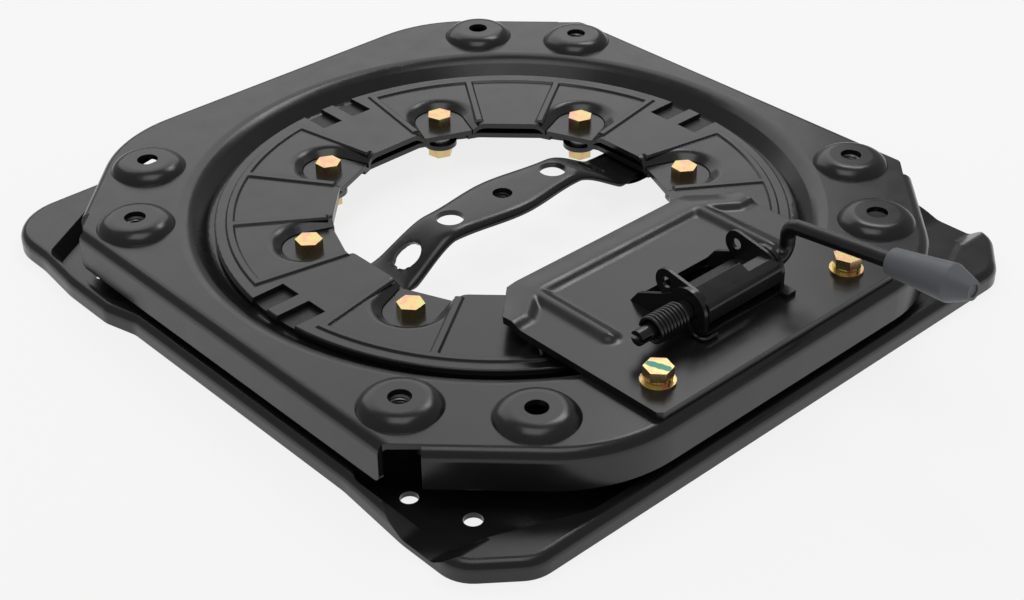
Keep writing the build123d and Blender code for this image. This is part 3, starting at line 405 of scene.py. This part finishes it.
weld_nut("bar_nut", 0.0, 0.0, BAR_NUT_TOP_MM, coat, "base")

# Clamp ring and spacers: a flat ring whose raised pads fill the retaining ring's openings, dipped like
# the rest, and eight turned steel bushes that keep it off the base. Bare steel is grey, with fine
# turning marks round it and a film of oil. The marks are drawn coarser than real ones, so that they show.
STEEL_GREY = "8b8c8e"
TURNING_MM = 1.2
TURNING_DEEP_MM = 0.03
OIL_MM = 6.0


def turned_steel():
    """Oiled steel with fine rings from the lathe."""
    bare = bpy.data.materials.new("oiled turned steel")
    tree = new_tree(bare)
    here = add(tree, "ShaderNodeTexCoord").outputs["Object"]
    rings = add(tree, "ShaderNodeTexWave",
                {"Vector": here, "Scale": 1 / (TURNING_MM * MM), "Distortion": 0.6}, bands_direction="Z")
    marks = add(tree, "ShaderNodeBump",
                {"Strength": 0.2, "Distance": TURNING_DEEP_MM * MM, "Height": rings.outputs["Fac"]})
    oil = add(tree, "ShaderNodeTexNoise", {"Vector": here, "Scale": 1 / (OIL_MM * MM), "Detail": 3.0})
    rough = add(tree, "ShaderNodeMapRange", {"Value": oil.outputs["Fac"], "To Min": 0.24, "To Max": 0.42})
    metal = add(tree, "ShaderNodeBsdfPrincipled",
                {"Base Color": linear(STEEL_GREY), "Metallic": 1.0, "Roughness": rough.outputs["Result"],
                 "Normal": marks.outputs["Normal"]})
    add(tree, "ShaderNodeOutputMaterial", {"Surface": metal.outputs[0]})
    return bare


steel = turned_steel()
finish(coat, "clamp_ring")
finish(steel, *[f"spacer_bush_{count}" for count in range(1, 9)])

# Glide rings: two black acetal rings, above and below the top plate's ledge, on which it turns. Only
# their edges show, in the ring's slots and past its rim. Moulded acetal is smooth and a little waxy.
ACETAL_BLACK = "131314"
HAZE_MM = 3.0
HAZE_DEEP_MM = 0.05


def acetal():
    """Smooth waxy moulding with a faint haze."""
    moulded = bpy.data.materials.new("moulded black acetal")
    tree = new_tree(moulded)
    here = add(tree, "ShaderNodeTexCoord").outputs["Object"]
    haze = add(tree, "ShaderNodeTexNoise", {"Vector": here, "Scale": 1 / (HAZE_MM * MM), "Detail": 2.0})
    sheen = add(tree, "ShaderNodeMapRange", {"Value": haze.outputs["Fac"], "To Min": 0.38, "To Max": 0.55})
    skin = add(tree, "ShaderNodeBump",
               {"Strength": 0.1, "Distance": HAZE_DEEP_MM * MM, "Height": haze.outputs["Fac"]})
    body = add(tree, "ShaderNodeBsdfPrincipled",
               {"Base Color": linear(ACETAL_BLACK), "Roughness": sheen.outputs["Result"], "IOR": 1.48,
                "Normal": skin.outputs["Normal"]})
    add(tree, "ShaderNodeOutputMaterial", {"Surface": body.outputs[0]})
    return moulded


finish(acetal(), "lower_glide_ring", "upper_glide_ring")

# Top plate: drawn from one sheet with a skirt, a round recess and eight bosses for the seat. Four of
# the bosses have tapped nuts welded under them, whose threads show through the holes.
NUT_X_MM = 165.0
NUT_Y_MM = 110.0
NUT_TOP_MM = 40.0
WELD_BLUE = "5d5f63"
TEMPER_MM = 4.0
BITE_MM = 0.5
BITE_DEEP_MM = 0.04


def welded_steel():
    """Bare steel nut, tempered blue in drifts by the weld, with a faint bite in its skin."""
    bare = bpy.data.materials.new("oiled steel nut")
    tree = new_tree(bare)
    here = add(tree, "ShaderNodeTexCoord").outputs["Object"]
    temper = add(tree, "ShaderNodeTexNoise", {"Vector": here, "Scale": 1 / (TEMPER_MM * MM), "Detail": 4.0})
    tone = add(tree, "ShaderNodeMix",
               {0: temper.outputs["Fac"], 6: linear(WELD_BLUE), 7: linear(STEEL_GREY)}, data_type="RGBA")
    bite = add(tree, "ShaderNodeTexNoise", {"Vector": here, "Scale": 1 / (BITE_MM * MM), "Detail": 2.0})
    skin = add(tree, "ShaderNodeBump",
               {"Strength": 0.15, "Distance": BITE_DEEP_MM * MM, "Height": bite.outputs["Fac"]})
    metal = add(tree, "ShaderNodeBsdfPrincipled",
                {"Base Color": tone.outputs[2], "Metallic": 1.0, "Roughness": 0.36,
                 "Normal": skin.outputs["Normal"]})
    add(tree, "ShaderNodeOutputMaterial", {"Surface": metal.outputs[0]})
    return bare


finish(coat, "top_plate")
nut_steel = welded_steel()
for count, (side, end) in enumerate(((-1, -1), (-1, 1), (1, -1), (1, 1)), 1):
    weld_nut(f"weld_nut_{count}", side * NUT_X_MM, end * NUT_Y_MM, NUT_TOP_MM, nut_steel, "top")

# Retaining ring: holds the top plate down on its glide. Pressed with shallow beads that stiffen it, a
# dish round each bolt and four pairs of slots for the pawl's teeth. Dipped like the plates.
finish(coat, "retaining_ring")

# Ring bolts and nuts: eight M8 hexagon bolts, cold headed, zinc plated and dipped in yellow chromate.
# The film is pale gold with drifts of pink and green, and the head's crown is turned after forging. Each
# head stands as its wrench left it, by the angle of a corner, and a bmesh hexagon's first is at 30.
BOLT_CIRCLE_MM = 220.0
HEAD_FLATS_MM = 13.0
HEAD_TALL_MM = 5.4
HEAD_CROWN_MM = 12.2
BOLT_THREAD_MM = 8.0
BOLT_PITCH_MM = 1.25
TIP_CHAMFER_MM = 1.0
SHANK_STEPS = 40
RING_SEAT_MM = 27.4
RING_NUT_TOP_MM = 13.0
NUT_8_TALL_MM = 6.5
STICK_OUT_MM = 2.2
RUN_OUT_MM = 1.0
HEAD_TURNS = (40, 48, 33, 20, 11, 37, 52, 25)
BOLT_STEP = 360 / len(HEAD_TURNS)
FIRST_CORNER = 30
NUT_TURN = 57
FORGE_CREASE = 20
ZINC_GOLD = "e0bf86"
ZINC_PINK = "e0ac92"
ZINC_GREEN = "cfc98c"
ZINC_DRIFT_MM = 5.0
PINK_BELOW = 0.36
GREEN_ABOVE = 0.66
FORGE_GRAIN_MM = 0.5
FORGE_DENT_MM = 0.05
FORGE_ROUND_MM = 0.2


def yellow_zinc():
    """Zinc plate with a yellow chromate film that drifts in hue."""
    plate = bpy.data.materials.new("yellow chromated zinc plate")
    tree = new_tree(plate)
    here = add(tree, "ShaderNodeTexCoord").outputs["Object"]
    drift = add(tree, "ShaderNodeTexNoise",
                {"Vector": here, "Scale": 1 / (ZINC_DRIFT_MM * MM), "Detail": 2.0})
    hues = add(tree, "ShaderNodeValToRGB", {"Fac": drift.outputs["Fac"]})
    ramp = hues.color_ramp
    ramp.elements[0].position = PINK_BELOW
    ramp.elements[0].color = linear(ZINC_PINK)
    ramp.elements[1].position = GREEN_ABOVE
    ramp.elements[1].color = linear(ZINC_GREEN)
    middle = ramp.elements.new(0.5)
    middle.color = linear(ZINC_GOLD)
    grain = add(tree, "ShaderNodeTexNoise",
                {"Vector": here, "Scale": 1 / (FORGE_GRAIN_MM * MM), "Detail": 3.0})
    rough = add(tree, "ShaderNodeMapRange", {"Value": grain.outputs["Fac"], "To Min": 0.20, "To Max": 0.36})
    edge = add(tree, "ShaderNodeBevel", {"Radius": FORGE_ROUND_MM * MM}, samples=4)
    dents = add(tree, "ShaderNodeBump",
                {"Strength": 0.18, "Distance": FORGE_DENT_MM * MM, "Height": grain.outputs["Fac"],
                 "Normal": edge.outputs["Normal"]})
    metal = add(tree, "ShaderNodeBsdfPrincipled",
                {"Base Color": hues.outputs["Color"], "Metallic": 1.0, "Roughness": rough.outputs["Result"],
                 "Normal": dents.outputs["Normal"]})
    add(tree, "ShaderNodeOutputMaterial", {"Surface": metal.outputs[0]})
    return plate


def lathe(shape, line):
    """Turn a line of (radius, height) points in millimetres once round the Z axis."""
    points = [shape.verts.new((radius * MM, 0.0, height * MM)) for radius, height in line]
    runs = [shape.edges.new(pair) for pair in zip(points, points[1:])]
    bmesh.ops.spin(shape, geom=points + runs, cent=(0, 0, 0), axis=(0, 0, 1), angle=math.tau,
                   steps=SHANK_STEPS, use_merge=True)


def swing(shape, degrees):
    """Turn a shape about Z."""
    bmesh.ops.rotate(shape, verts=shape.verts, cent=(0, 0, 0),
                     matrix=Matrix.Rotation(math.radians(degrees), 3, "Z"))


def hex_bolt(seat, tip, turn):
    """A hexagon bolt about Z, with its head on one level, its threaded tip at another and a corner's turn."""
    shape = bmesh.new()
    bmesh.ops.create_cone(shape, cap_ends=True, segments=6, radius1=HEAD_FLATS_MM / math.sqrt(3) * MM,
                          radius2=HEAD_FLATS_MM / math.sqrt(3) * MM, depth=HEAD_TALL_MM * MM,
                          matrix=Matrix.Translation((0, 0, (seat + HEAD_TALL_MM / 2) * MM)))
    turn_corners(shape, (seat + HEAD_TALL_MM) * MM, HEAD_CROWN_MM / 2 * MM, True)
    swing(shape, turn - FIRST_CORNER)
    root = BOLT_THREAD_MM / 2 - THREAD_DEPTH * BOLT_PITCH_MM
    start, crest = tip + TIP_CHAMFER_MM / 2, BOLT_THREAD_MM / 2
    lathe(shape, ((0, tip), (root - TIP_CHAMFER_MM / 2, tip), (root, start), (root, seat), (0, seat)))
    thread(shape, start * MM, (seat - RUN_OUT_MM) * MM, root * MM, crest * MM, BOLT_PITCH_MM * MM)
    return shape


def plain_nut(top, turn):
    """An M8 hexagon nut under one level."""
    shape = bmesh.new()
    hex_nut(shape, HEAD_FLATS_MM * MM, NUT_8_TALL_MM * MM, HEAD_CROWN_MM * MM, BOLT_THREAD_MM / 2 * MM,
            (top - NUT_8_TALL_MM) * MM)
    swing(shape, turn)
    return shape


def bolted(bolt, nut, x, y, body, name):
    """Carry a bolt and its nut to their hole in millimetres, in the place of their two CAD nodes."""
    for shape, word, made in ((bolt, "bolt", "threaded"), (nut, "nut", "turned")):
        bmesh.ops.translate(shape, verts=shape.verts, vec=Vector((x, y, 0)) * MM)
        node = name.format(word)
        piece(shape, f"{node}_{made}", zinc, body, (node,), crease=FORGE_CREASE)


zinc = yellow_zinc()
ring_tip = RING_NUT_TOP_MM - NUT_8_TALL_MM - STICK_OUT_MM
for count, head_turn in enumerate(HEAD_TURNS, 1):
    angle = math.radians(BOLT_STEP * (count - 0.5))
    bolted(hex_bolt(RING_SEAT_MM, ring_tip, head_turn), plain_nut(RING_NUT_TOP_MM, NUT_TURN - head_turn),
           BOLT_CIRCLE_MM / 2 * math.cos(angle), BOLT_CIRCLE_MM / 2 * math.sin(angle),
           "base", f"ring_{{}}_{count}")

# Lock plate: thick sheet over the front of the recess, pressed with a soft U-shaped rib. Its margin
# falls away behind the rib, and a window is punched over the slots. Dipped like the rest.
LOCK_PLATE_TOP_MM = 41.6
LOCK_SHEET_MM = 4.0
LOCK_HALF_MM = 87.3
LOCK_FRONT_MM = -200.4
LOCK_BACK_MM = -75.0
LOCK_CORNER_MM = ((66.0, LOCK_BACK_MM), (LOCK_HALF_MM, -95.0))
LOCK_FRONT_CUT_MM = 2.6
RIB_X_MM = 60.0
RIB_BACK_MM = -88.5
RIB_FRONT_MM = -141.0
RIB_HALF_MM = 6.8
RIB_RISE_MM = 2.4
MARGIN_FRONT_MM = -101.0
MARGIN_FALL_MM = 1.8
MARGIN_SLANT = 0.72
MARGIN_WIDE_MM = 14.0
MARGIN_CURVE = 1.5
WINDOW_HALF_MM = 29.45
WINDOW_FRONT_MM = -166.0
WINDOW_BACK_MM = -125.5
LOCK_X_MM = 69.5
LOCK_Y_MM = -182.0
LOCK_HOLE_MM = 4.3
PRESS_STEP_MM = 1.2
PRESS_SMOOTHINGS = 4
CUT_NEAR_MM = 0.0001


def bell(reach):
    """The rib's height across its width, as a share of its rise."""
    return max(0.0, 1 - reach * reach) ** 2


def pressed(x, y):
    """The lock plate's height above its flat: the rib, its two legs and the margin that falls behind it."""
    x = abs(x)
    bend = max(MARGIN_FRONT_MM, RIB_BACK_MM - MARGIN_SLANT * max(0.0, x - RIB_X_MM))
    behind = y - bend
    leg = math.hypot(x - RIB_X_MM, y - max(RIB_FRONT_MM, min(RIB_BACK_MM, y)))
    if behind > 0:
        return RIB_RISE_MM - MARGIN_FALL_MM * (behind / MARGIN_WIDE_MM) ** MARGIN_CURVE
    return RIB_RISE_MM * max(bell(behind / RIB_HALF_MM), bell(leg / RIB_HALF_MM))


stamped = bmesh.new()
wide, deep = LOCK_HALF_MM, (LOCK_BACK_MM - LOCK_FRONT_MM) / 2
bmesh.ops.create_grid(stamped, x_segments=round(2 * wide / PRESS_STEP_MM),
                      y_segments=round(2 * deep / PRESS_STEP_MM), size=1.0)
bmesh.ops.scale(stamped, verts=stamped.verts, vec=(wide * MM, deep * MM, 1))
bmesh.ops.translate(stamped, verts=stamped.verts, vec=(0, (LOCK_FRONT_MM + deep) * MM, 0))


def cut_sheet(shape, x, y, normal, clear):
    """Cut a sheet along a line in millimetres, and clear what lies past it."""
    parts = list(shape.verts) + list(shape.edges) + list(shape.faces)
    bmesh.ops.bisect_plane(shape, geom=parts, dist=CUT_NEAR_MM * MM, plane_co=Vector((x, y, 0)) * MM,
                           plane_no=normal, clear_outer=clear)


(inner_x, inner_y), (outer_x, outer_y) = LOCK_CORNER_MM
for side in (-1, 1):
    slant = Vector((side * (inner_y - outer_y), outer_x - inner_x, 0))
    cut_sheet(stamped, side * inner_x, inner_y, slant, True)
    front_corner = side * (LOCK_HALF_MM - LOCK_FRONT_CUT_MM)
    cut_sheet(stamped, front_corner, LOCK_FRONT_MM, Vector((side, -1, 0)), True)
    cut_sheet(stamped, side * WINDOW_HALF_MM, 0, Vector((side, 0, 0)), False)
for y in (WINDOW_FRONT_MM, WINDOW_BACK_MM):
    cut_sheet(stamped, 0, y, Vector((0, 1, 0)), False)
opened = []
for face in stamped.faces:
    middle = face.calc_center_median() / MM
    if abs(middle.x) < WINDOW_HALF_MM and WINDOW_FRONT_MM < middle.y < WINDOW_BACK_MM:
        opened.append(face)
bmesh.ops.delete(stamped, geom=opened, context="FACES")
for side in (-1, 1):
    punch(stamped, side * LOCK_X_MM, LOCK_Y_MM, LOCK_HOLE_MM)
for vert in stamped.verts:
    vert.co.z = (LOCK_PLATE_TOP_MM + pressed(vert.co.x / MM, vert.co.y / MM)) * MM
smooth_inside(stamped, PRESS_SMOOTHINGS)
sheet_wall(stamped, LOCK_SHEET_MM * MM)
piece(stamped, "lock_plate_pressed", coat, "top", ("lock_plate",), crease=SHEET_CREASE)

# Lock bolts: two more M8 bolts, each on a split spring washer and a plain washer. The left one has a
# stripe of marking paint across its head, brushed on at inspection once it was tight.
PLAIN_WASHER_MM = 1.6
SPRING_WASHER_MM = 2.0
LOCK_NUT_TOP_MM = 34.6
LOCK_HEAD_TURNS = (13, 49)
LOCK_NUT_STEP = 30
MARK_DEEP = "27997f"
MARK_PALE = "45c4a8"
STROKE_MM = 0.8
STROKE_DEEP_MM = 0.06
MARK_LONG_MM = 12.6
MARK_WIDE_MM = 4.0
MARK_TURN = -71
MARK_THICK_MM = 0.12
MARK_LIFT_MM = 0.06
MARK_TAPER = 0.35
MARK_WAVER = 0.10
MARK_WAVES = 19
MARK_STEPS = (16, 4)
MARK_CREASE = 60


def marking_paint():
    """Thick glossy marking paint, brushed on."""
    teal = bpy.data.materials.new("brushed teal marking paint")
    tree = new_tree(teal)
    here = add(tree, "ShaderNodeTexCoord").outputs["Object"]
    strokes = add(tree, "ShaderNodeTexNoise", {"Vector": here, "Scale": 1 / (STROKE_MM * MM), "Detail": 3.0})
    tone = add(tree, "ShaderNodeMix",
               {0: strokes.outputs["Fac"], 6: linear(MARK_DEEP), 7: linear(MARK_PALE)}, data_type="RGBA")
    skin = add(tree, "ShaderNodeBump",
               {"Strength": 0.3, "Distance": STROKE_DEEP_MM * MM, "Height": strokes.outputs["Fac"]})
    film = add(tree, "ShaderNodeBsdfPrincipled",
               {"Base Color": tone.outputs[2], "Roughness": 0.32, "IOR": 1.5,
                "Normal": skin.outputs["Normal"]})
    add(tree, "ShaderNodeOutputMaterial", {"Surface": film.outputs[0]})
    return teal


finish(zinc, "spring_washer_left", "spring_washer_right", "flat_washer_left", "flat_washer_right")
lock_seat = LOCK_PLATE_TOP_MM + PLAIN_WASHER_MM + SPRING_WASHER_MM
lock_tip = LOCK_NUT_TOP_MM - NUT_8_TALL_MM - STICK_OUT_MM
for word, side, head_turn in (("left", -1, LOCK_HEAD_TURNS[0]), ("right", 1, LOCK_HEAD_TURNS[1])):
    bolted(hex_bolt(lock_seat, lock_tip, head_turn), plain_nut(LOCK_NUT_TOP_MM, head_turn + LOCK_NUT_STEP),
           side * LOCK_X_MM, LOCK_Y_MM, "top", f"lock_{{}}_{word}")

mark = bmesh.new()
bmesh.ops.create_grid(mark, x_segments=MARK_STEPS[0], y_segments=MARK_STEPS[1], size=0.5)
bmesh.ops.scale(mark, verts=mark.verts, vec=(MARK_LONG_MM * MM, MARK_WIDE_MM * MM, 1))
for vert in mark.verts:
    along = vert.co.x / (MARK_LONG_MM * MM)
    vert.co.y *= 1.0 - MARK_TAPER * abs(2 * along) ** 4 + MARK_WAVER * math.sin(MARK_WAVES * along)
bmesh.ops.solidify(mark, geom=list(mark.faces), thickness=MARK_THICK_MM * MM)
swing(mark, MARK_TURN)
crown_top = lock_seat + HEAD_TALL_MM + MARK_LIFT_MM
bmesh.ops.translate(mark, verts=mark.verts, vec=Vector((-LOCK_X_MM, LOCK_Y_MM, crown_top)) * MM)
piece(mark, "paint_mark", marking_paint(), "top", crease=MARK_CREASE)

# Latch bracket: two cheeks on the lock plate that carry the lever's rod, joined by a low strip. Bent
# from sheet, welded down and dipped.
finish(coat, "latch_bracket")

# Lever rod, pawl and collar: a round steel rod, bent cold, with the folded pawl welded on it. They are
# dipped on their own, and their film is darker and a little duller than the plates'.
ROD_DARK = "151516"
ROD_LIGHT = "1c1c1d"
ROD_ROUGH_LOW = 0.24
ROD_ROUGH_HIGH = 0.32
rod_coat = dip_coat("black dip coat on the lever", ROD_DARK, ROD_LIGHT, ROD_ROUGH_LOW, ROD_ROUGH_HIGH)
finish(rod_coat, "lever_rod", "lock_pawl", "rod_clip")

# Torsion spring: hard drawn wire wound close round the rod's left end, blacked in oil. Its leg runs
# down and hooks round the bracket's front.
SPRING_BLACK = "141415"
DRAWN_MM = 0.7
DRAWN_DEEP_MM = 0.03


def blacked_wire():
    """Blacked spring wire with fine draw marks and a film of oil."""
    wire = bpy.data.materials.new("blacked spring wire")
    tree = new_tree(wire)
    here = add(tree, "ShaderNodeTexCoord").outputs["Object"]
    drawn = add(tree, "ShaderNodeTexNoise", {"Vector": here, "Scale": 1 / (DRAWN_MM * MM), "Detail": 3.0})
    oil = add(tree, "ShaderNodeMapRange", {"Value": drawn.outputs["Fac"], "To Min": 0.24, "To Max": 0.38})
    skin = add(tree, "ShaderNodeBump",
               {"Strength": 0.12, "Distance": DRAWN_DEEP_MM * MM, "Height": drawn.outputs["Fac"]})
    film = add(tree, "ShaderNodeBsdfPrincipled",
               {"Base Color": linear(SPRING_BLACK), "Roughness": oil.outputs["Result"], "IOR": 1.6,
                "Normal": skin.outputs["Normal"]})
    add(tree, "ShaderNodeOutputMaterial", {"Surface": film.outputs[0]})
    return wire


finish(blacked_wire(), "torsion_spring")

# Grip: a sleeve of grey soft vinyl pushed over the lever's arm, matt with a faint pebble. It widens
# towards its end, tapers to a blunt tip and has a small round dish there from its mould.
VINYL = "666a6e"
PEBBLE_MM = 0.9
PEBBLE_DEEP_MM = 0.08
RUB_MM = 9.0


def vinyl():
    """Matt grey vinyl with a faint pebble."""
    soft = bpy.data.materials.new("grey soft vinyl")
    tree = new_tree(soft)
    here = add(tree, "ShaderNodeTexCoord").outputs["Object"]
    pebble = add(tree, "ShaderNodeTexNoise", {"Vector": here, "Scale": 1 / (PEBBLE_MM * MM), "Detail": 3.0})
    rub = add(tree, "ShaderNodeTexNoise", {"Vector": here, "Scale": 1 / (RUB_MM * MM), "Detail": 3.0})
    shine = add(tree, "ShaderNodeMapRange", {"Value": rub.outputs["Fac"], "To Min": 0.44, "To Max": 0.58})
    skin = add(tree, "ShaderNodeBump",
               {"Strength": 0.25, "Distance": PEBBLE_DEEP_MM * MM, "Height": pebble.outputs["Fac"]})
    body = add(tree, "ShaderNodeBsdfPrincipled",
               {"Base Color": linear(VINYL), "Roughness": shine.outputs["Result"],
                "Normal": skin.outputs["Normal"]})
    add(tree, "ShaderNodeOutputMaterial", {"Surface": body.outputs[0]})
    return soft


finish(vinyl(), "lever_grip")
